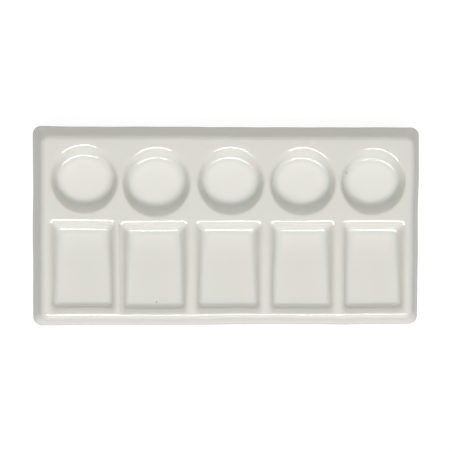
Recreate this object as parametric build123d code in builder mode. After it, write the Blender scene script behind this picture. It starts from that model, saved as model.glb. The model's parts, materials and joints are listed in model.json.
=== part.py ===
"""A glazed porcelain mixing palette: one fired body between a face glaze and an underside glaze.

Millimetres. The origin is the middle of the foot plane, +X runs along the length, +Y points from the
slant wells to the round wells, and +Z is up. Every layer lies between two copies of the same tray
shape, taken at different depths below the finished, glazed surface.
"""

import os
from math import cos, radians, sin, tan

from build123d import *

# Overall sizes of the finished tray. Length and width are measured at the lower edge of the glaze.
LENGTH = 209.5
WIDTH = 108.0
HEIGHT = 15.0

# Layers, from the face inwards.
WALL = 4.2
GLAZE = 0.4

# Foot: the glaze is wiped off below the glaze line, and the bare edge there is chamfered.
GLAZE_LINE = 1.2
FOOT_CHAMFER = 0.5

# Outer edge: the deck rolls over a shoulder into a skirt that leans out to the foot.
SHOULDER = 3.2
SKIRT_ANGLE = 70.0

# Both rows of wells share these.
COLUMNS = 5
PITCH = 38.3

# Round wells: the mouth is where the wall would meet the deck without its lip.
ROUND_MOUTH = 35.6
ROUND_LIP = 2.0
ROUND_DEPTH = 7.2
ROUND_WALL_ANGLE = 68.0
ROUND_FLOOR_RADIUS = 2.2
ROUND_ROW_Y = 24.0

# Slant wells: the floor falls from the front edge of the tray towards the round wells.
SLANT_WIDTH = 33.6
SLANT_LENGTH = 46.8
SLANT_LIP = 2.4
SLANT_DEPTH_DEEP = 7.0
SLANT_DEPTH_SHALLOW = 4.0
SLANT_WALL_ANGLE = 64.0
SLANT_FLOOR_RADIUS = 3.5
SLANT_ROW_Y = -20.8

# Tools reach this far past the tray, so that every cut runs clean through.
REACH = 12.0


def shoulder_inset():
    """Distance from the glaze's lower edge in to where the flat deck begins."""
    lean = radians(SKIRT_ANGLE)
    skirt_height = HEIGHT - SHOULDER + SHOULDER * cos(lean) - GLAZE_LINE
    return SHOULDER * sin(lean) + skirt_height / tan(lean)


def core_half(mouth_half, height, radius, angle):
    """Half width, at a height over the deck, of the sharp core that a well grows from."""
    wall = radians(angle)
    return mouth_half - radius * sin(wall) + (height - radius * cos(wall)) / tan(wall)


def block(depth):
    """The tray with no wells, at a depth below its finished surface."""
    core_height = HEIGHT - SHOULDER + REACH
    inset = shoulder_inset() - core_height / tan(radians(SKIRT_ANGLE))
    with BuildPart() as tray_block:
        with BuildSketch(Plane.XY.offset(-REACH)):
            Rectangle(LENGTH - 2 * inset, WIDTH - 2 * inset)
        extrude(amount=core_height, taper=90 - SKIRT_ANGLE)
        offset(amount=SHOULDER - depth, kind=Kind.ARC)
        split(bisect_by=Plane.XY, keep=Keep.TOP)
    return tray_block.part


def round_well(depth):
    """The space in and over a round well on the Z axis, at a depth below its finished surface."""
    core_floor = ROUND_FLOOR_RADIUS - ROUND_DEPTH
    floor_half = core_half(ROUND_MOUTH / 2, core_floor, ROUND_FLOOR_RADIUS, ROUND_WALL_ANGLE)
    top_half = core_half(ROUND_MOUTH / 2, REACH, ROUND_FLOOR_RADIUS, ROUND_WALL_ANGLE)
    with BuildPart() as well:
        with BuildSketch(Plane.XZ):
            with BuildLine():
                Polyline(
                    (0, HEIGHT + core_floor),
                    (floor_half, HEIGHT + core_floor),
                    (top_half, HEIGHT + REACH),
                    (0, HEIGHT + REACH),
                    close=True,
                )
            make_face()
        revolve(axis=Axis.Z)
        offset(amount=ROUND_FLOOR_RADIUS + depth, kind=Kind.ARC)
    return well.part


def slant_well(depth):
    """The space in and over a slant well on the Z axis, at a depth below its finished surface."""
    middle_depth = (SLANT_DEPTH_DEEP + SLANT_DEPTH_SHALLOW) / 2
    fall = (SLANT_DEPTH_DEEP - SLANT_DEPTH_SHALLOW) / SLANT_LENGTH
    half_width = core_half(SLANT_WIDTH / 2, REACH, SLANT_FLOOR_RADIUS, SLANT_WALL_ANGLE)
    half_length = core_half(SLANT_LENGTH / 2, REACH, SLANT_FLOOR_RADIUS, SLANT_WALL_ANGLE)
    core_floor = Plane(
        origin=(0, 0, HEIGHT - middle_depth + SLANT_FLOOR_RADIUS),
        x_dir=(1, 0, 0),
        z_dir=(0, fall, 1),
    )
    with BuildPart() as well:
        with BuildSketch(Plane.XY.offset(HEIGHT + REACH)):
            Rectangle(2 * half_width, 2 * half_length)
        extrude(amount=-REACH - SLANT_DEPTH_DEEP, taper=90 - SLANT_WALL_ANGLE)
        split(bisect_by=core_floor, keep=Keep.TOP)
        offset(amount=SLANT_FLOOR_RADIUS + depth, kind=Kind.ARC)
    return well.part


def tray(depth):
    """The whole tray, wells cut in, at a depth below its finished surface."""
    solid_block = block(depth)
    round_space = round_well(depth)
    slant_space = slant_well(depth)
    with BuildPart() as shape:
        add(solid_block)
        with Locations((0, ROUND_ROW_Y)):
            with GridLocations(PITCH, 0, COLUMNS, 1):
                add(round_space, mode=Mode.SUBTRACT)
        with Locations((0, SLANT_ROW_Y)):
            with GridLocations(PITCH, 0, COLUMNS, 1):
                add(slant_space, mode=Mode.SUBTRACT)
        for row_y, lip in ((ROUND_ROW_Y, ROUND_LIP), (SLANT_ROW_Y, SLANT_LIP)):
            if depth < lip:
                deck = shape.faces().filter_by(Plane.XY).sort_by(Axis.Z)[-1]
                mouths = [wire for wire in deck.inner_wires() if wire.bounding_box().center().Y * row_y > 0]
                fillet([edge for mouth in mouths for edge in mouth.edges()], radius=lip - depth)
    return shape.part


finished_face = tray(0)
bare_face = tray(GLAZE)
bare_underside = tray(WALL - GLAZE)
finished_underside = tray(WALL)

with BuildPart() as porcelain_body:
    add(bare_face)
    add(bare_underside, mode=Mode.SUBTRACT)
    foot = porcelain_body.faces().filter_by(Plane.XY).sort_by(Axis.Z)[0]
    chamfer(foot.edges(), length=FOOT_CHAMFER)
porcelain_body.part.label = "porcelain_body"

with BuildPart() as face_glaze:
    add(finished_face)
    add(bare_face, mode=Mode.SUBTRACT)
    split(bisect_by=Plane.XY.offset(GLAZE_LINE), keep=Keep.TOP)
face_glaze.part.label = "face_glaze"

with BuildPart() as underside_glaze:
    add(bare_underside)
    add(finished_underside, mode=Mode.SUBTRACT)
    split(bisect_by=Plane.XY.offset(GLAZE_LINE), keep=Keep.TOP)
underside_glaze.part.label = "underside_glaze"

os.makedirs("parts", exist_ok=True)
export_step(porcelain_body.part, "parts/porcelain_body.step")
export_step(face_glaze.part, "parts/face_glaze.step")
export_step(underside_glaze.part, "parts/underside_glaze.step")
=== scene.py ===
"""The finished look of a glazed porcelain mixing palette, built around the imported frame.

Metres, in the frame's own axes. Every surface of the tray is a layer: the finished face, moved inwards
by some depth. A layer is made of rings, round each well inside that well's own cell of the deck, and
round the whole tray down its shoulder and skirt. Each piece is a closed mesh between two layers.
"""

import json
from math import cos, pi, radians, sin, tan

import bpy
import numpy as np
from mathutils import Matrix, Vector


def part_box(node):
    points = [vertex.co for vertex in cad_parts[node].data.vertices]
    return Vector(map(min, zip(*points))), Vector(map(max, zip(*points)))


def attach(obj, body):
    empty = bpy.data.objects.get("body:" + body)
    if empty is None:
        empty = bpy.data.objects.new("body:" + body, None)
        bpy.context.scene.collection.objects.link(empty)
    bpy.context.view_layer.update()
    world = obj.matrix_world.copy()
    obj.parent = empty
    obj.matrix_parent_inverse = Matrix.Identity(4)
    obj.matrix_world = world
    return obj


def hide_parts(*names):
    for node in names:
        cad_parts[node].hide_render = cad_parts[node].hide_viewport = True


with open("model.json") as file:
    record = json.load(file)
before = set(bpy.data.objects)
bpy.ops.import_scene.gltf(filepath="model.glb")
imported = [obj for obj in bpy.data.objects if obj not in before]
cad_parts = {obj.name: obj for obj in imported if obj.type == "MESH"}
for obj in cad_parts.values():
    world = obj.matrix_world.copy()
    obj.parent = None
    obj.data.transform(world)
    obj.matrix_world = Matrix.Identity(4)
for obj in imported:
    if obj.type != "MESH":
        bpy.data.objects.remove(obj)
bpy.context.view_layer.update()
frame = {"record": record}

MM = 0.001

# The block, read from the frame. The finished face is layer 0. The clay's face, the clay's underside and
# the finished underside are layers at the depths GLAZE, CORE_DEPTH and WALL below it.
face_low, face_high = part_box("face_glaze")
HEIGHT = face_high.z
HALF_LENGTH = face_high.x
HALF_WIDTH = face_high.y
GLAZE_LINE = face_low.z
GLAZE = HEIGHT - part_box("porcelain_body")[1].z
CORE_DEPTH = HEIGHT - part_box("underside_glaze")[1].z
WALL = CORE_DEPTH + GLAZE

# Outer edge.
SHOULDER = 3.2 * MM
SKIRT_ANGLE = radians(67.5)
DECK_CORNER = 1.5 * MM
FOOT_CORNER = 4.7 * MM
# The skirt is a little hollow halfway down.
SKIRT_HOLLOW = 0.35 * MM

# Rims: each ring lies a share of the way in from a piece's outer bottom to its inner one, and a drop
# lower than both.
FOOT_CHAMFER = 0.5 * MM
FOOT_RIM = ((0.02, FOOT_CHAMFER), (0.98, FOOT_CHAMFER))
GLAZE_BEAD = ((0.2, 0.15 * MM), (0.5, 0.22 * MM), (0.8, 0.15 * MM))

# Round wells. A mouth is where the wall would meet the deck without its lip. Pairs go from crisp to
# gentle: the lip is gentlest at the back of a well, the wall and the floor's curve at its back and
# front.
ROUND_RADIUS = 17.8 * MM
ROUND_DEPTH = 7.2 * MM
ROUND_DISH = 0.35 * MM
ROUND_LIP = (1.5 * MM, 3.4 * MM)
ROUND_WALL = (radians(72), radians(62))
ROUND_FLOOR_RADIUS = (1.8 * MM, 2.6 * MM)

# Slant wells: the lip is broader along the front, where a brush is wiped.
SLANT_HALF_WIDTH = 16.8 * MM
SLANT_BACK = 23.0 * MM
SLANT_FRONT = 23.8 * MM
SLANT_LIP = 3.2 * MM
SLANT_FRONT_LIP = 4.5 * MM
SLANT_LIP_BLEND = 5.0 * MM
SLANT_DEEP = 7.0 * MM
SLANT_SHALLOW = 4.0 * MM
SLANT_WALL = radians(64)
SLANT_FLOOR_RADIUS = 2.8 * MM
SLANT_CORNER = 2.4 * MM

# A clay palette is never quite regular. From left to right: each well's drift along X and Y, and its
# extra half width, in millimetres.
ROUND_DRIFT = ((0.15, 1.3), (0.05, -0.3), (1.3, 0.3), (1.35, 0.3), (0.9, 0.0))
ROUND_SPREAD = (-0.1, 0.1, -0.3, -0.1, -0.5)
SLANT_DRIFT = ((-0.8, 0.2), (-1.0, -0.4), (0.2, -0.4), (1.25, -0.4), (1.65, -0.4))
SLANT_SPREAD = (0.0, 0.5, 0.2, 0.2, -0.3)

# Slow waves over the whole tray: heading, length and amount. They lift it by less than they move it.
WAVES = (
    (radians(20), 95 * MM, 0.12 * MM),
    (radians(110), 61 * MM, 0.09 * MM),
    (radians(65), 33 * MM, 0.06 * MM),
    (radians(-28), 23 * MM, 0.05 * MM),
)
WAVE_LIFT = 0.25
# How far the long edges pull in at their middle.
WAIST = 0.3 * MM

# Pooled glaze, and the painted shade that goes with it, reach this far into a floor.
POOL_AND_SHADE_REACH = 3.0 * MM

# A lip's rings start at most this far out from the mouth, so that they stay inside their cell.
MOST_REACH = 1.25 * MM
# The least radius of a lip, at whatever layer.
LEAST_LIP = 0.2 * MM
# The round wells' gaps are the narrower ones, so the slant wells' gaps count less in where cells meet.
SLANT_GAP_SHARE = 0.2
# Points in the same cube of this grid are one point. The shift, which is no simple fraction, keeps round
# values off the cubes' faces.
WELD = 1e-7
WELD_SHIFT = pi / 10

# The four sides of a ring, anticlockwise, the heading that each faces, and the turn of half a corner.
BACK, LEFT, FRONT, RIGHT = range(4)
SIDE_ANGLES = (pi / 2, pi, 3 * pi / 2, 2 * pi)
HALF_CORNER = pi / 4

# Segments along one side of a ring, and how many of them lie in half a corner.
SIDE = 24
ROUND_ARC = 12
SLANT_ARC = 4
OUTLINE_ARC = 5
# Steps from ring to ring over each part of a surface.
LIP_STEPS = 8
WALL_STEPS = 3
FLOOR_ARC_STEPS = 9
FLOOR_STEPS = 8
DECK_STEPS = 3
SHOULDER_STEPS = 16
SKIRT_STEPS = 10


# --- Rings ------------------------------------------------------------------------------------------

def side(start, end, normal, radius, start_arc=0, end_arc=0):
    """One side of a ring, as bases, directions and radii: a point is its base + radius * direction.

    Its straight part faces along normal. Each of its ends may turn through half a corner.
    """
    straight = SIDE - start_arc - end_arc
    share = np.linspace(0, 1, straight + 1)[:-1, None]
    bases = np.concatenate([
        np.repeat([start], start_arc, axis=0),
        start + share * (np.array(end) - start),
        np.repeat([end], end_arc, axis=0),
    ])
    angles = np.concatenate([
        np.linspace(normal - HALF_CORNER, normal, start_arc + 1)[:-1],
        np.full(straight, normal),
        np.linspace(normal, normal + HALF_CORNER, end_arc + 1)[:-1],
    ])
    directions = np.stack([np.cos(angles), np.sin(angles)], axis=1)
    return bases, directions, np.full(SIDE, radius)


def points_of(sides):
    """The points of a ring or of a chain of sides."""
    return np.concatenate([bases + radii[:, None] * directions for bases, directions, radii in sides])


# --- Wells ------------------------------------------------------------------------------------------

def hump(share):
    """A smooth hump over 0 to 1, zero outside it."""
    return np.sin(pi * np.clip(share, 0, 1)) ** 2


def smooth(share):
    """Rises from 0 to 1 with level ends."""
    share = np.clip(share, 0, 1)
    return share * share * (3 - 2 * share)


def breaks(floor, lip, wall, floor_radius):
    """Insets where the lip starts and ends and where the floor's curve starts and ends."""
    lip_start = -lip * np.tan(wall / 2)
    arc_end = floor / np.tan(wall) + floor_radius * np.tan(wall / 2)
    return lip_start, lip_start + lip * np.sin(wall), arc_end - floor_radius * np.sin(wall), arc_end


def ring_insets(floor, lip, wall, floor_radius):
    """Insets of the rings that follow the lip, the wall and the floor's curve."""
    lip_start, lip_end, arc_start, arc_end = breaks(floor, lip, wall, floor_radius)
    first_turn = np.arcsin(np.maximum(-MOST_REACH - lip_start, 0) / lip)
    lip_turn = np.linspace(first_turn, wall, LIP_STEPS + 1)
    floor_turn = np.linspace(wall, 0.0, FLOOR_ARC_STEPS + 1)
    return np.concatenate([
        lip_start + lip * np.sin(lip_turn),
        np.linspace(lip_end, arc_start, WALL_STEPS + 1)[1:-1],
        arc_end - floor_radius * np.sin(floor_turn),
    ])


def profile(inset, floor, lip, wall, floor_radius):
    """Depth under the deck at an inset from the mouth: a lip, a straight wall, a curve to the floor."""
    lip_start, lip_end, arc_start, arc_end = breaks(floor, lip, wall, floor_radius)
    lip_run = np.clip(inset - lip_start, 0, lip * np.sin(wall))
    lip_depth = lip - np.sqrt(lip**2 - lip_run**2)
    arc_run = np.clip(arc_end - inset, 0, floor_radius * np.sin(wall))
    arc_depth = floor - floor_radius + np.sqrt(floor_radius**2 - arc_run**2)
    wall_depth = inset * np.tan(wall)
    return np.where(inset < lip_end, lip_depth, np.where(inset < arc_start, wall_depth, arc_depth))


class Well:
    """One well. Each kind of well adds its own floor_depth, shape, inset and rings."""

    def __init__(self, opening, drift, half_x, half_y):
        low, high = np.array(opening["box_m"])
        self.x, self.y = (low[:2] + high[:2]) / 2 + drift
        self.half_x = half_x
        self.half_y = half_y

    def depth(self, x, y, layer):
        """How far a layer of the well lies below the same layer of the deck."""
        lip, wall, floor_radius = self.shape(x, y)
        inset = self.inset(x, y) + layer * np.tan(wall / 2)
        lip = np.maximum(lip - layer, LEAST_LIP)
        return profile(inset, self.floor_depth(x, y), lip, wall, floor_radius + layer)

    def pool(self, x, y):
        """How thick the glaze has run, which also places painted shade in the wells: 1 low on the wall,
        -1 on the lip, 0 on the deck and the floor.
        """
        inset = self.inset(x, y)
        lip_start, lip_end, _, arc_end = breaks(self.floor_depth(x, y), *self.shape(x, y))
        in_curve = hump((inset - lip_end) / (arc_end - lip_end + POOL_AND_SHADE_REACH))
        return in_curve - hump((inset - lip_start) / (lip_end - lip_start))


class RoundWell(Well):
    """A round well, whose floor is a shallow dish."""

    def __init__(self, opening, drift, spread):
        radius = ROUND_RADIUS + spread
        super().__init__(opening, drift, radius, radius)

    def floor_depth(self, x, y):
        """Depth of the floor under the deck."""
        return ROUND_DEPTH + ROUND_DISH * (1 - ((x - self.x)**2 + (y - self.y)**2) / self.half_x**2)

    def shape(self, x, y):
        """Lip radius, wall angle and floor radius round the well."""
        # From 0 at the well's left and right to 1 at its back and front. Its centre counts as 1 mm off.
        ends = (y - self.y)**2 / np.maximum((x - self.x)**2 + (y - self.y)**2, MM**2)
        behind = np.where(y > self.y, ends, 0)
        shares = ((ROUND_LIP, behind), (ROUND_WALL, ends), (ROUND_FLOOR_RADIUS, ends))
        return [crisp + (gentle - crisp) * share for (crisp, gentle), share in shares]

    def inset(self, x, y):
        """Distance in from the edge of the mouth."""
        return self.half_x - np.hypot(x - self.x, y - self.y)

    def rings(self):
        """Plans of the rings from the start of the lip to the end of the floor's curve."""
        centre = np.array([self.x, self.y])
        quarters = [side((0, 0), (0, 0), angle, 1.0, ROUND_ARC, ROUND_ARC) for angle in SIDE_ANGLES]
        directions = points_of(quarters)
        x, y = (centre + directions * self.half_x).T
        insets = ring_insets(self.floor_depth(x, y), *self.shape(x, y))
        return [centre + directions * (self.half_x - inset)[:, None] for inset in insets]


class SlantWell(Well):
    """A rectangular well, whose floor falls towards the back."""

    def __init__(self, opening, drift, spread):
        super().__init__(opening, drift, SLANT_HALF_WIDTH + spread, (SLANT_BACK + SLANT_FRONT) / 2)
        self.y += (SLANT_BACK - SLANT_FRONT) / 2

    def floor_depth(self, x, y):
        """Depth of the floor under the deck."""
        share = (y - self.y) / (2 * self.half_y) + 0.5
        return SLANT_SHALLOW + (SLANT_DEEP - SLANT_SHALLOW) * share

    def shape(self, x, y):
        """Lip radius, wall angle and floor radius. The lip's radius changes at the front corners."""
        from_side = self.half_x - np.abs(x - self.x)
        from_front = y - self.y + self.half_y
        share = smooth((from_side - from_front) / SLANT_LIP_BLEND + 0.5)
        return SLANT_LIP + (SLANT_FRONT_LIP - SLANT_LIP) * share, SLANT_WALL, SLANT_FLOOR_RADIUS

    def inset(self, x, y):
        """Distance in from the edge of the mouth. Its level lines turn each corner in an arc."""
        from_side = self.half_x - np.abs(x - self.x)
        from_end = self.half_y - np.abs(y - self.y)
        gap = np.minimum(np.abs(from_side - from_end), SLANT_CORNER)
        rounding = (SLANT_CORNER * 2 - gap - np.sqrt(2 * SLANT_CORNER**2 - gap**2)) / 2
        return np.minimum(from_side, from_end) - rounding

    def rings(self):
        """Plans of the rings from the start of the lip to the end of the floor's curve."""
        back_floor = self.floor_depth(self.x, self.y + self.half_y)
        front_floor = self.floor_depth(self.x, self.y - self.half_y)
        back = ring_insets(back_floor, SLANT_LIP, SLANT_WALL, SLANT_FLOOR_RADIUS)
        front_side = ring_insets(front_floor, SLANT_LIP, SLANT_WALL, SLANT_FLOOR_RADIUS)
        front = ring_insets(front_floor, SLANT_FRONT_LIP, SLANT_WALL, SLANT_FLOOR_RADIUS)
        rings = []
        # The lip is broader along the front, so there a ring's insets from the side and the end differ.
        for behind, beside, before in zip(back, front_side, front):
            corners = [
                (
                    self.x + sign_x * (self.half_x - from_side - SLANT_CORNER),
                    self.y + sign_y * (self.half_y - from_end - SLANT_CORNER),
                )
                for sign_x, sign_y, from_side, from_end in (
                    (1, 1, behind, behind),
                    (-1, 1, behind, behind),
                    (-1, -1, beside, before),
                    (1, -1, beside, before),
                )
            ]
            rings.append(points_of([
                side(corners[i], corners[(i + 1) % 4], angle, SLANT_CORNER, SLANT_ARC, SLANT_ARC)
                for i, angle in enumerate(SIDE_ANGLES)
            ]))
        return rings


def make_row(kind, name, drifts, spreads):
    """The wells of one row, from left to right."""
    openings = [o for o in frame["record"]["physics"]["openings"] if o["name"].startswith(name)]
    openings.sort(key=lambda opening: opening["box_m"][0][0])
    return [kind(*well) for well in zip(openings, np.array(drifts) * MM, np.array(spreads) * MM)]


round_row = make_row(RoundWell, "round", ROUND_DRIFT, ROUND_SPREAD)
slant_row = make_row(SlantWell, "slant", SLANT_DRIFT, SLANT_SPREAD)
wells = round_row + slant_row


def deck_drop(x, y, layer):
    """How far a layer lies below its deck at a point: 0 on the deck, more in a well."""
    return np.max([well.depth(x, y, layer) for well in wells], axis=0)


# --- The deck's cells and outline -------------------------------------------------------------------

def shoulder_inset():
    """Distance from the glaze's lower edge in to where the flat deck begins."""
    skirt_height = HEIGHT - SHOULDER + SHOULDER * cos(SKIRT_ANGLE) - GLAZE_LINE
    return SHOULDER * sin(SKIRT_ANGLE) + skirt_height / tan(SKIRT_ANGLE)


DECK_HALF = np.array([HALF_LENGTH, HALF_WIDTH]) - shoulder_inset()


class Cell:
    """The part of the deck around one well, between a low and a high corner.

    Outer says which of its sides, from BACK to RIGHT, lie on the deck's outline.
    """

    def __init__(self, well, low, high, outer):
        self.well = well
        self.sides = []
        corners = np.array([(high[0], high[1]), (low[0], high[1]), (low[0], low[1]), (high[0], low[1])])
        for i, angle in enumerate(SIDE_ANGLES):
            start, end = corners[i], corners[(i + 1) % 4]
            rounded_start = outer[i] and outer[i - 1]
            rounded_end = outer[i] and outer[(i + 1) % 4]
            radius = DECK_CORNER * outer[i]
            inward = -np.round([cos(angle), sin(angle)])
            along = (end - start) / np.linalg.norm(end - start)
            self.sides.append(side(
                start + radius * (inward + along * rounded_start),
                end + radius * (inward - along * rounded_end),
                angle,
                radius,
                OUTLINE_ARC * rounded_start,
                OUTLINE_ARC * rounded_end,
            ))


def gap_middle(left, right):
    """X of the middle of the gap between two wells."""
    return (left.x + left.half_x + right.x - right.half_x) / 2


def column_edges():
    """X of the cell edges, which both rows share."""
    edges = [-DECK_HALF[0]]
    for i in range(len(round_row) - 1):
        round_gap, slant_gap = [gap_middle(row[i], row[i + 1]) for row in (round_row, slant_row)]
        edges.append(round_gap + (slant_gap - round_gap) * SLANT_GAP_SHARE)
    return edges + [DECK_HALF[0]]


def row_edge():
    """Y of the line between the two rows."""
    round_front = min(well.y - well.half_y for well in round_row)
    slant_back = max(well.y + well.half_y for well in slant_row)
    return (round_front + slant_back) / 2


def make_cells(row, low_y, high_y):
    """A cell for each well of a row."""
    edges = column_edges()
    cells = []
    for i, well in enumerate(row):
        outer = (row is round_row, i == 0, row is slant_row, i == len(row) - 1)
        cells.append(Cell(well, (edges[i], low_y), (edges[i + 1], high_y), outer))
    return cells


round_cells = make_cells(round_row, row_edge(), DECK_HALF[1])
slant_cells = make_cells(slant_row, -DECK_HALF[1], row_edge())


def deck_outline():
    """Bases and directions of the deck's outline, anticlockwise from the +X +Y corner."""
    chain = [cell.sides[BACK] for cell in reversed(round_cells)]
    chain += [round_cells[0].sides[LEFT], slant_cells[0].sides[LEFT]]
    chain += [cell.sides[FRONT] for cell in slant_cells]
    chain += [slant_cells[-1].sides[RIGHT], round_cells[-1].sides[RIGHT]]
    bases, directions, _ = [np.concatenate(parts) for parts in zip(*chain)]
    return bases, directions


outline_bases, outline_directions = deck_outline()


def outline_ring(reach):
    """The deck's outline moved outwards. Its corners grow to the foot's size over the shoulder."""
    growth = (FOOT_CORNER - DECK_CORNER) * min(reach / (SHOULDER * sin(SKIRT_ANGLE)), 1)
    core = DECK_HALF - DECK_CORNER
    bases = outline_bases * (1 + (reach - growth) / core)
    return bases + (DECK_CORNER + growth) * outline_directions


def skirt_rings(layer, bottom):
    """Rings down the shoulder and the skirt of a layer: points in plan, and heights."""
    radius = SHOULDER - layer
    turns = np.linspace(0, SKIRT_ANGLE, SHOULDER_STEPS + 1)[1:]
    reach = list(radius * np.sin(turns))
    height = list(HEIGHT - SHOULDER + radius * np.cos(turns))
    top_reach, top = reach[-1], height[-1]
    for level in np.linspace(top, bottom, SKIRT_STEPS + 1)[1:]:
        hollow = SKIRT_HOLLOW * hump((top - level) / top)
        reach.append(top_reach + (top - level) / tan(SKIRT_ANGLE) - hollow)
        height.append(level)
    return [(outline_ring(r), h) for r, h in zip(reach, height)]


# --- Meshes -----------------------------------------------------------------------------------------

class Sheet:
    """A growing mesh of rings."""

    def __init__(self):
        self.points = []
        self.faces = []
        self.count = 0

    def add(self, points):
        """Adds points and returns their numbers."""
        self.points.append(points)
        numbers = np.arange(self.count, self.count + len(points))
        self.count += len(points)
        return numbers

    def bridge(self, outer, inner):
        """Quads between two closed rings, facing up when outer lies round inner."""
        self.faces += list(zip(outer, np.roll(outer, -1), np.roll(inner, -1), inner))

    def fan(self, ring, centre):
        """Triangles from a ring to a point."""
        self.faces += [(a, b, centre) for a, b in zip(ring, np.roll(ring, -1))]

    def add_turned_over(self, other):
        """Adds another sheet, facing the other way, and returns how far its points' numbers move."""
        move = self.count
        self.points += other.points
        self.count += other.count
        self.faces += [tuple(n + move for n in reversed(face)) for face in other.faces]
        return move

    def weld(self):
        """The points with each place kept once, and the faces between them."""
        points = np.concatenate(self.points)
        keys = np.floor(points / WELD + WELD_SHIFT).astype(np.int64)
        _, first, inverse = np.unique(keys, axis=0, return_index=True, return_inverse=True)
        inverse = inverse.reshape(-1)
        return points[first], [tuple(int(inverse[n]) for n in face) for face in self.faces]


def lift(plan, height, layer):
    """Points in space over a plan: at a height, or lower where a well's own layer lies lower."""
    x, y = plan.T
    z = np.minimum(height, HEIGHT - layer - deck_drop(x, y, layer))
    return np.stack([x, y, z], axis=1)


def layer_sheet(layer, bottom):
    """One layer of the tray, from the wells' middles down to the skirt's bottom, and its last ring."""
    sheet = Sheet()
    deck = HEIGHT - layer
    for cell in round_cells + slant_cells:
        edge = points_of(cell.sides)
        rings = cell.well.rings()
        centre = rings[-1].mean(axis=0)
        plan = [edge + (rings[0] - edge) * i / DECK_STEPS for i in range(DECK_STEPS)] + rings
        plan += [rings[-1] + (centre - rings[-1]) * i / FLOOR_STEPS for i in range(1, FLOOR_STEPS)]
        numbers = [sheet.add(lift(ring, deck, layer)) for ring in plan]
        for outer, inner in zip(numbers, numbers[1:]):
            sheet.bridge(outer, inner)
        sheet.fan(numbers[-1], sheet.add(lift(centre[None, :], deck, layer))[0])
    last = sheet.add(lift(outline_ring(0), deck, layer))
    for ring, height in skirt_rings(layer, bottom):
        following = sheet.add(lift(ring, height, layer))
        sheet.bridge(following, last)
        last = following
    return sheet, last


def hand_made(points):
    """Points moved by the slow waves and the waist, the same at every layer. The foot stays flat."""
    x, y, z = points.T
    moved = points.copy()
    for heading, length, amount in WAVES:
        turn = 2 * pi * (x * cos(heading) + y * sin(heading)) / length + heading
        moved[:, 0] += amount * np.sin(turn)
        moved[:, 1] += amount * np.cos(turn)
        moved[:, 2] += amount * WAVE_LIFT * np.sin(2 * turn) * z / HEIGHT
    moved[:, 1] -= WAIST * np.cos(pi / 2 * x / HALF_LENGTH) * y / HALF_WIDTH
    return moved


def link(obj):
    """Puts an object in the scene."""
    bpy.context.scene.collection.objects.link(obj)
    return obj


def make_piece(name, outer_layer, inner_layer, bottom, rim):
    """A closed piece between two layers, with a rim that joins their bottoms."""
    sheet, outer_last = layer_sheet(outer_layer, bottom)
    inner_sheet, inner_last = layer_sheet(inner_layer, bottom)
    inner_last = inner_last + sheet.add_turned_over(inner_sheet)
    points = np.concatenate(sheet.points)
    start, end = points[outer_last], points[inner_last]
    last = outer_last
    for share, drop in rim:
        ring = start + (end - start) * share
        ring[:, 2] -= drop
        following = sheet.add(ring)
        sheet.bridge(following, last)
        last = following
    sheet.bridge(inner_last, last)
    return finish_piece(name, *sheet.weld())


def finish_piece(name, points, faces):
    """Makes the object, and stores on it where the glaze has pooled, which also places painted shade,
    and how deep it lies, which also places painted light on the floors.
    """
    mesh = bpy.data.meshes.new(name)
    mesh.from_pydata(hand_made(points).tolist(), [], faces)
    mesh.shade_smooth()
    x, y, _ = points.T
    for attribute, values in (
        ("pool", np.sum([well.pool(x, y) for well in wells], axis=0)),
        ("deep", deck_drop(x, y, 0) / ROUND_DEPTH),
    ):
        mesh.attributes.new(attribute, "FLOAT", "POINT").data.foreach_set("value", values)
    return link(bpy.data.objects.new(name, mesh))


# --- Materials --------------------------------------------------------------------------------------

GLAZE_COLOUR = (0.76, 0.75, 0.69)
GLAZE_THIN = (0.768, 0.753, 0.683)
# Pooled glaze: cooler, and a little darker as painted shade on the wells' walls and floor curves.
GLAZE_POOLED_AND_SHADED = (0.735, 0.752, 0.70)
# Painted light: the wells' floors, their deepest parts, are lighter than the deck.
GLAZE_PAINTED_FLOOR_LIGHT = (0.845, 0.835, 0.775)
GLAZE_ROSY = (0.775, 0.745, 0.695)
GLAZE_GREEN = (0.75, 0.755, 0.68)
GLAZE_IOR = 1.52
IRON = (0.16, 0.13, 0.11)
# Where iron in the clay has burnt through the glaze, in millimetres, with each speck's radius.
IRON_SPECKS = ((-38.2, -40.3, 0.42), (64.2, 28.9, 0.42), (64.4, 30.0, 0.3))

# Patches of a glaze's two tints, of its pinholes and of the foot's wear.
ROSY_PATCHES = {"size": 45 * MM, "begin": 0.48, "full": 0.66}
GREEN_PATCHES = {"size": 38 * MM, "begin": 0.5, "full": 0.68}
PINHOLE_PATCHES = {"size": 9 * MM, "begin": 0.55, "full": 0.6, "detail": 0.0}
WORN_PATCHES = {"size": 12 * MM, "begin": 0.45, "full": 0.75, "detail": 5.0}
# How far the green patches lie above the rosy ones in the noise.
GREEN_OFFSET = 0.4
# Where the painted light on the wells' floors and the mould lines come in, as shares of a round well's
# depth.
PAINTED_FLOOR_LIGHT_RANGE = (0.75, 1.0)
MOULD_LINE_RANGE = (0.2, 0.4)

# The glaze's relief: slow ripples, and shares of their height for the orange peel and the small marks.
GLAZE_RELIEF = 0.12 * MM
RIPPLE_SIZE = 14 * MM
PEEL_SIZE = 2.5 * MM
PEEL_SHARE = 0.06
PINHOLE_SPACING = 5 * MM
PINHOLE_RADIUS = 0.12 * MM
PINHOLE_SHARE = 0.2
PINHOLE_DARKNESS = 0.35
MOULD_LINE_SPACING = 1.3 * MM
MOULD_LINE_WOBBLE = 1.5
MOULD_LINE_SHARE = 0.2
# Roughness, as a least value and what noise adds to it, and the size of that noise.
GLAZE_ROUGHNESS = (0.035, 0.03)
GLAZE_ROUGHNESS_SIZE = 20 * MM

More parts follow.
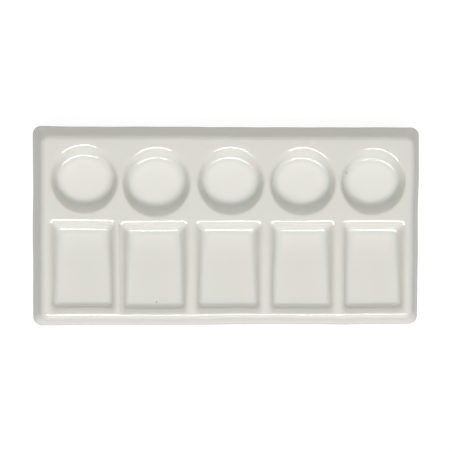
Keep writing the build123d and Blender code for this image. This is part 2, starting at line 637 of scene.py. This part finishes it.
# The bare foot.
BISCUIT_DARK = (0.70, 0.67, 0.60)
BISCUIT_LIGHT = (0.79, 0.77, 0.71)
BISCUIT_WORN = (0.60, 0.56, 0.49)
BISCUIT_IOR = 1.5
BISCUIT_RELIEF = 0.06 * MM
BISCUIT_ROUGHNESS = (0.55, 0.3)
GRAIN_SIZE = 0.35 * MM
GRAIN_DETAIL = 4.0
WEAR_DARKNESS = 0.35
DARK_GRAIN_SPACING = 2.2 * MM
DARK_GRAIN_RADIUS = 0.08 * MM
DARK_GRAIN_DARKNESS = 0.5

# The share of a small dot's and of a single spot's radius that has the full colour.
DOT_CORE = 0.4
SPOT_CORE = 0.5
# The length of one band of a wave texture at scale 1.
WAVE_TEXTURE_LENGTH = pi / 10


class Tree:
    """A node tree that is built node by node."""

    def __init__(self, tree):
        self.nodes = tree.nodes
        self.links = tree.links

    def feed(self, socket, value):
        """Links an output to a socket, or stores a plain value in it."""
        if isinstance(value, bpy.types.NodeSocket):
            self.links.new(value, socket)
        elif socket.type == "RGBA":
            socket.default_value = (*value, 1)
        else:
            socket.default_value = value

    def maths(self, operation, first, second):
        """Arithmetic on two values."""
        node = self.nodes.new("ShaderNodeMath")
        node.operation = operation
        self.feed(node.inputs[0], first)
        self.feed(node.inputs[1], second)
        return node.outputs[0]

    def vector_maths(self, operation, first, second, output="Vector"):
        """Arithmetic on two vectors."""
        node = self.nodes.new("ShaderNodeVectorMath")
        node.operation = operation
        self.feed(node.inputs[0], first)
        self.feed(node.inputs[1], second)
        return node.outputs[output]


class Shader(Tree):
    """A Principled material."""

    def __init__(self, name, ior):
        self.material = bpy.data.materials.new(name)
        self.material.use_nodes = True
        super().__init__(self.material.node_tree)
        self.surface = self.nodes["Principled BSDF"]
        self.feed(self.surface.inputs["IOR"], ior)
        self.place = self.nodes.new("ShaderNodeTexCoord").outputs["Object"]

    def noise(self, size, detail=2.0, offset=(0, 0, 0)):
        """Cloudy noise whose features are about a size across, from 0 to 1."""
        node = self.nodes.new("ShaderNodeTexNoise")
        self.feed(node.inputs["Vector"], self.vector_maths("ADD", self.place, offset))
        self.feed(node.inputs["Scale"], 1 / size)
        self.feed(node.inputs["Detail"], detail)
        return node.outputs["Fac"]

    def patches(self, size, begin, full, detail=2.0, offset=(0, 0, 0)):
        """Soft patches: 0 where the noise is under begin, 1 where it is over full."""
        return self.ramp(self.noise(size, detail, offset), begin, full)

    def dots(self, spacing, radius):
        """1 inside small round dots scattered about a spacing apart, 0 outside them."""
        node = self.nodes.new("ShaderNodeTexVoronoi")
        self.feed(node.inputs["Vector"], self.place)
        self.feed(node.inputs["Scale"], 1 / spacing)
        return self.ramp(node.outputs["Distance"], radius / spacing, DOT_CORE * radius / spacing)

    def level_lines(self, spacing, wobble):
        """Soft level lines, as a mould leaves them on walls, a spacing apart in height."""
        node = self.nodes.new("ShaderNodeTexWave")
        node.bands_direction = "Z"
        self.feed(node.inputs["Vector"], self.place)
        self.feed(node.inputs["Scale"], WAVE_TEXTURE_LENGTH / spacing)
        self.feed(node.inputs["Distortion"], wobble)
        return node.outputs["Fac"]

    def spot(self, centre, radius):
        """1 near a point in plan, fading to 0 at a radius from it."""
        plan = self.vector_maths("MULTIPLY", self.place, (1, 1, 0))
        distance = self.vector_maths("DISTANCE", plan, (*centre, 0), "Value")
        return self.ramp(distance, radius, SPOT_CORE * radius)

    def ramp(self, value, low, high):
        """0 at low, 1 at high, smooth between."""
        node = self.nodes.new("ShaderNodeMapRange")
        node.interpolation_type = "SMOOTHSTEP"
        self.feed(node.inputs["Value"], value)
        self.feed(node.inputs["From Min"], low)
        self.feed(node.inputs["From Max"], high)
        return node.outputs["Result"]

    def mix(self, share, first, second):
        """A colour between two colours."""
        node = self.nodes.new("ShaderNodeMix")
        node.data_type = "RGBA"
        self.feed(node.inputs["Factor"], share)
        self.feed(node.inputs["A"], first)
        self.feed(node.inputs["B"], second)
        return node.outputs["Result"]

    def attribute(self, name):
        """A value stored on the mesh."""
        node = self.nodes.new("ShaderNodeAttribute")
        node.attribute_name = name
        return node.outputs["Fac"]

    def finish(self, colour, height, relief, roughness, noise):
        """Connects the colour, the relief and the roughness, and returns the material.

        The relief is how far a height of 1 stands up. Roughness is a least value and what noise adds.
        """
        self.feed(self.surface.inputs["Base Color"], colour)
        bump = self.nodes.new("ShaderNodeBump")
        self.feed(bump.inputs["Height"], height)
        self.feed(bump.inputs["Distance"], relief)
        self.feed(self.surface.inputs["Normal"], bump.outputs["Normal"])
        least, more = roughness
        rough = self.maths("ADD", least, self.maths("MULTIPLY", noise, more))
        self.feed(self.surface.inputs["Roughness"], rough)
        return self.material


def glaze_colour(shader, pinholes, offset, specks):
    """Soft tints, warmer where the glaze runs thin and cooler and a little darker where it pools, as
    painted shade on the wells' walls, with painted light on the wells' floors and small dark marks.
    """
    rosy = shader.patches(**ROSY_PATCHES, offset=offset)
    green = shader.patches(**GREEN_PATCHES, offset=(offset[1], offset[0], GREEN_OFFSET))
    colour = shader.mix(rosy, GLAZE_COLOUR, GLAZE_ROSY)
    colour = shader.mix(green, colour, GLAZE_GREEN)
    # Painted light: the deepest parts of the wells, their floors, are painted lighter.
    deep = shader.ramp(shader.attribute("deep"), *PAINTED_FLOOR_LIGHT_RANGE)
    colour = shader.mix(deep, colour, GLAZE_PAINTED_FLOOR_LIGHT)
    # The wells' walls and floor curves take the pooled tint, which is partly real pooling and partly
    # painted shade; the lips take the thin tint.
    pool = shader.attribute("pool")
    colour = shader.mix(shader.ramp(pool, 0.0, 1.0), colour, GLAZE_POOLED_AND_SHADED)
    colour = shader.mix(shader.ramp(pool, 0.0, -1.0), colour, GLAZE_THIN)
    colour = shader.mix(shader.maths("MULTIPLY", pinholes, PINHOLE_DARKNESS), colour, IRON)
    for x, y, radius in specks:
        colour = shader.mix(shader.spot((x * MM, y * MM), radius * MM), colour, IRON)
    return colour


def glaze_height(shader, pinholes):
    """Slow ripples with a fine orange peel, pinholes, and mould lines on the walls of the wells."""
    on_wall = shader.ramp(shader.attribute("deep"), *MOULD_LINE_RANGE)
    lines = shader.maths("MULTIPLY", shader.level_lines(MOULD_LINE_SPACING, MOULD_LINE_WOBBLE), on_wall)
    height = shader.noise(RIPPLE_SIZE, detail=1.0)
    for mark, share in (
        (shader.noise(PEEL_SIZE, detail=1.0), PEEL_SHARE),
        (pinholes, -PINHOLE_SHARE),
        (lines, MOULD_LINE_SHARE),
    ):
        height = shader.maths("ADD", height, shader.maths("MULTIPLY", mark, share))
    return height


def glaze_material(name, offset, specks):
    """Clear glossy glaze over white clay."""
    shader = Shader(name, GLAZE_IOR)
    dots = shader.dots(PINHOLE_SPACING, PINHOLE_RADIUS)
    pinholes = shader.maths("MULTIPLY", dots, shader.patches(**PINHOLE_PATCHES))
    colour = glaze_colour(shader, pinholes, offset, specks)
    height = glaze_height(shader, pinholes)
    noise = shader.noise(GLAZE_ROUGHNESS_SIZE)
    return shader.finish(colour, height, GLAZE_RELIEF, GLAZE_ROUGHNESS, noise)


def biscuit_material():
    """The bare foot: fine matt clay, sanded, with a few dark grains and faint marks from use."""
    shader = Shader("bare_porcelain", BISCUIT_IOR)
    grain = shader.noise(GRAIN_SIZE, GRAIN_DETAIL)
    wear = shader.maths("MULTIPLY", shader.patches(**WORN_PATCHES), WEAR_DARKNESS)
    dots = shader.dots(DARK_GRAIN_SPACING, DARK_GRAIN_RADIUS)
    colour = shader.mix(grain, BISCUIT_DARK, BISCUIT_LIGHT)
    colour = shader.mix(wear, colour, BISCUIT_WORN)
    colour = shader.mix(shader.maths("MULTIPLY", dots, DARK_GRAIN_DARKNESS), colour, IRON)
    return shader.finish(colour, grain, BISCUIT_RELIEF, BISCUIT_ROUGHNESS, grain)


# --- Pieces -----------------------------------------------------------------------------------------

# Where each coat's tints lie in the noise.
FACE_OFFSET = (0.0, 0.0, 0.0)
UNDERSIDE_OFFSET = (0.3, 0.1, 0.0)

face = make_piece("glaze_on_face", 0.0, GLAZE, GLAZE_LINE, GLAZE_BEAD)
body = make_piece("porcelain", GLAZE, CORE_DEPTH, FOOT_CHAMFER, FOOT_RIM)
under = make_piece("glaze_on_underside", CORE_DEPTH, WALL, GLAZE_LINE, GLAZE_BEAD)

face_material = glaze_material("face_glaze_porcelain", FACE_OFFSET, IRON_SPECKS)
under_material = glaze_material("underside_glaze_porcelain", UNDERSIDE_OFFSET, ())

for piece, node, slot, material in (
    (face, "face_glaze", "face_glaze", face_material),
    (body, "porcelain_body", "biscuit", biscuit_material()),
    (under, "underside_glaze", "underside_glaze", under_material),
):
    piece.data.materials.append(material)
    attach(piece, "root")
    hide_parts(node)


# --- Stage, light and camera ------------------------------------------------------------------------

WHITE = (1.0, 1.0, 1.0)

# The floor: what the camera sees, and what lights the palette.
FLOOR_SIZE = 3.0
FLOOR_IOR = 1.5
FLOOR_ROUGHNESS = 0.9
FLOOR_ALBEDO = 0.2
FLOOR_GLOW = 0.86
FLOOR_BOUNCE_ALBEDO = 0.3
FLOOR_BOUNCE_GLOW = 0.29

# Radiance of the studio: what each direction adds, as its heading, how fast it fades and its gain.
SKY_TERMS = {
    "up": ((0, 0, 1), 4.0, 1.06),
    "front": ((0, -1, 0), 1.0, 0.78),
    "back": ((0, 1, 0), 1.0, 0.24),
    "low back": ((0, 1, 0), 8.0, 1.9),
    "right": ((1, 0, 0), 1.0, 0.04),
}
# The least radiance that the camera sees beyond the floor, and that the glaze reflects.
SKY_SEEN = 1.0
SKY_SEEN_IN_GLAZE = 0.3

# A broad soft light in front of the palette gives its shadows, and a long strip draws the bright lines.
# Sizes are in metres and powers in watts.
KEY_SIZE = (0.8, 0.3)
KEY_POWER = 5.2
KEY_ELEVATION = radians(47)
KEY_DISTANCE = 1.1
STRIP_SIZE = (0.62, 0.096)
STRIP_POWER = 7.5
STRIP_PLACE = (0.01, -0.4, 0.55)

CAMERA_PLACE = (-38.15 * MM, 33.15 * MM, 696 * MM)
CAMERA_TARGET = (-0.75 * MM, 0.25 * MM, 5 * MM)
CAMERA_ROLL = radians(0.16)
CAMERA_ANGLE = radians(20)


def make_floor():
    """A plain pale floor. The camera sees it nearly white, and it throws less light at the palette."""
    mesh = bpy.data.meshes.new("floor")
    reach = FLOOR_SIZE / 2
    corners = [(-reach, -reach, 0), (reach, -reach, 0), (reach, reach, 0), (-reach, reach, 0)]
    mesh.from_pydata(corners, [], [(0, 1, 2, 3)])
    shader = Shader("pale_floor", FLOOR_IOR)
    seen = shader.surface
    bounce = shader.nodes.new("ShaderNodeBsdfPrincipled")
    for surface, albedo, glow in (
        (seen, FLOOR_ALBEDO, FLOOR_GLOW),
        (bounce, FLOOR_BOUNCE_ALBEDO, FLOOR_BOUNCE_GLOW),
    ):
        shader.feed(surface.inputs["Base Color"], (albedo,) * 3)
        shader.feed(surface.inputs["Emission Color"], WHITE)
        shader.feed(surface.inputs["Emission Strength"], glow)
    shader.feed(seen.inputs["Roughness"], FLOOR_ROUGHNESS)
    shader.feed(bounce.inputs["Specular IOR Level"], 0.0)
    mix = shader.nodes.new("ShaderNodeMixShader")
    path = shader.nodes.new("ShaderNodeLightPath")
    shader.feed(mix.inputs["Fac"], path.outputs["Is Camera Ray"])
    shader.feed(mix.inputs[1], bounce.outputs["BSDF"])
    shader.feed(mix.inputs[2], seen.outputs["BSDF"])
    shader.feed(shader.nodes["Material Output"].inputs["Surface"], mix.outputs["Shader"])
    mesh.materials.append(shader.material)
    link(bpy.data.objects.new("floor", mesh))


def make_sky():
    """A soft studio all round the palette."""
    world = bpy.data.worlds.new("studio")
    bpy.context.scene.world = world
    world.use_nodes = True
    tree = Tree(world.node_tree)
    place = tree.nodes.new("ShaderNodeTexCoord").outputs["Generated"]
    total = 0.0
    for direction, fade, gain in SKY_TERMS.values():
        facing = tree.vector_maths("DOT_PRODUCT", place, direction, "Value")
        share = tree.maths("POWER", tree.maths("MAXIMUM", facing, 0.0), fade)
        total = tree.maths("ADD", total, tree.maths("MULTIPLY", share, gain))
    path = tree.nodes.new("ShaderNodeLightPath")
    for ray, least in (("Is Glossy Ray", SKY_SEEN_IN_GLAZE), ("Is Camera Ray", SKY_SEEN)):
        total = tree.maths("MAXIMUM", total, tree.maths("MULTIPLY", path.outputs[ray], least))
    background = tree.nodes["Background"]
    tree.feed(background.inputs["Color"], WHITE)
    tree.feed(background.inputs["Strength"], total)


def aim(obj, target, roll=0.0):
    """Points an object's -Z axis at a target, with its +Y axis towards the back of the palette."""
    back = (obj.location - Vector(target)).normalized()
    right = Vector((0, 1, 0)).cross(back).normalized()
    turn = Matrix((right, back.cross(right), back)).transposed().to_4x4()
    obj.matrix_world = Matrix.Translation(obj.location) @ turn @ Matrix.Rotation(roll, 4, "Z")


def make_light(name, size, power, place):
    """A rectangular light that faces the palette."""
    data = bpy.data.lights.new(name, "AREA")
    data.shape = "RECTANGLE"
    data.size, data.size_y = size
    data.energy = power
    light = link(bpy.data.objects.new(name, data))
    light.location = place
    aim(light, (0, 0, 0))
    return light


def make_lights():
    """The key light, which only shades, and the strip, which is only seen in the glaze."""
    key_place = (0, -KEY_DISTANCE * cos(KEY_ELEVATION), KEY_DISTANCE * sin(KEY_ELEVATION))
    key = make_light("key", KEY_SIZE, KEY_POWER, key_place)
    key.visible_glossy = False
    strip = make_light("window_strip", STRIP_SIZE, STRIP_POWER, STRIP_PLACE)
    strip.visible_diffuse = False


def make_camera():
    """Nearly straight down, a little from the back left."""
    data = bpy.data.cameras.new("camera")
    data.angle = CAMERA_ANGLE
    camera = link(bpy.data.objects.new("camera", data))
    camera.location = CAMERA_PLACE
    aim(camera, CAMERA_TARGET, CAMERA_ROLL)
    bpy.context.scene.camera = camera


make_floor()
make_sky()
make_lights()
make_camera()
bpy.context.scene.view_settings.view_transform = "Standard"
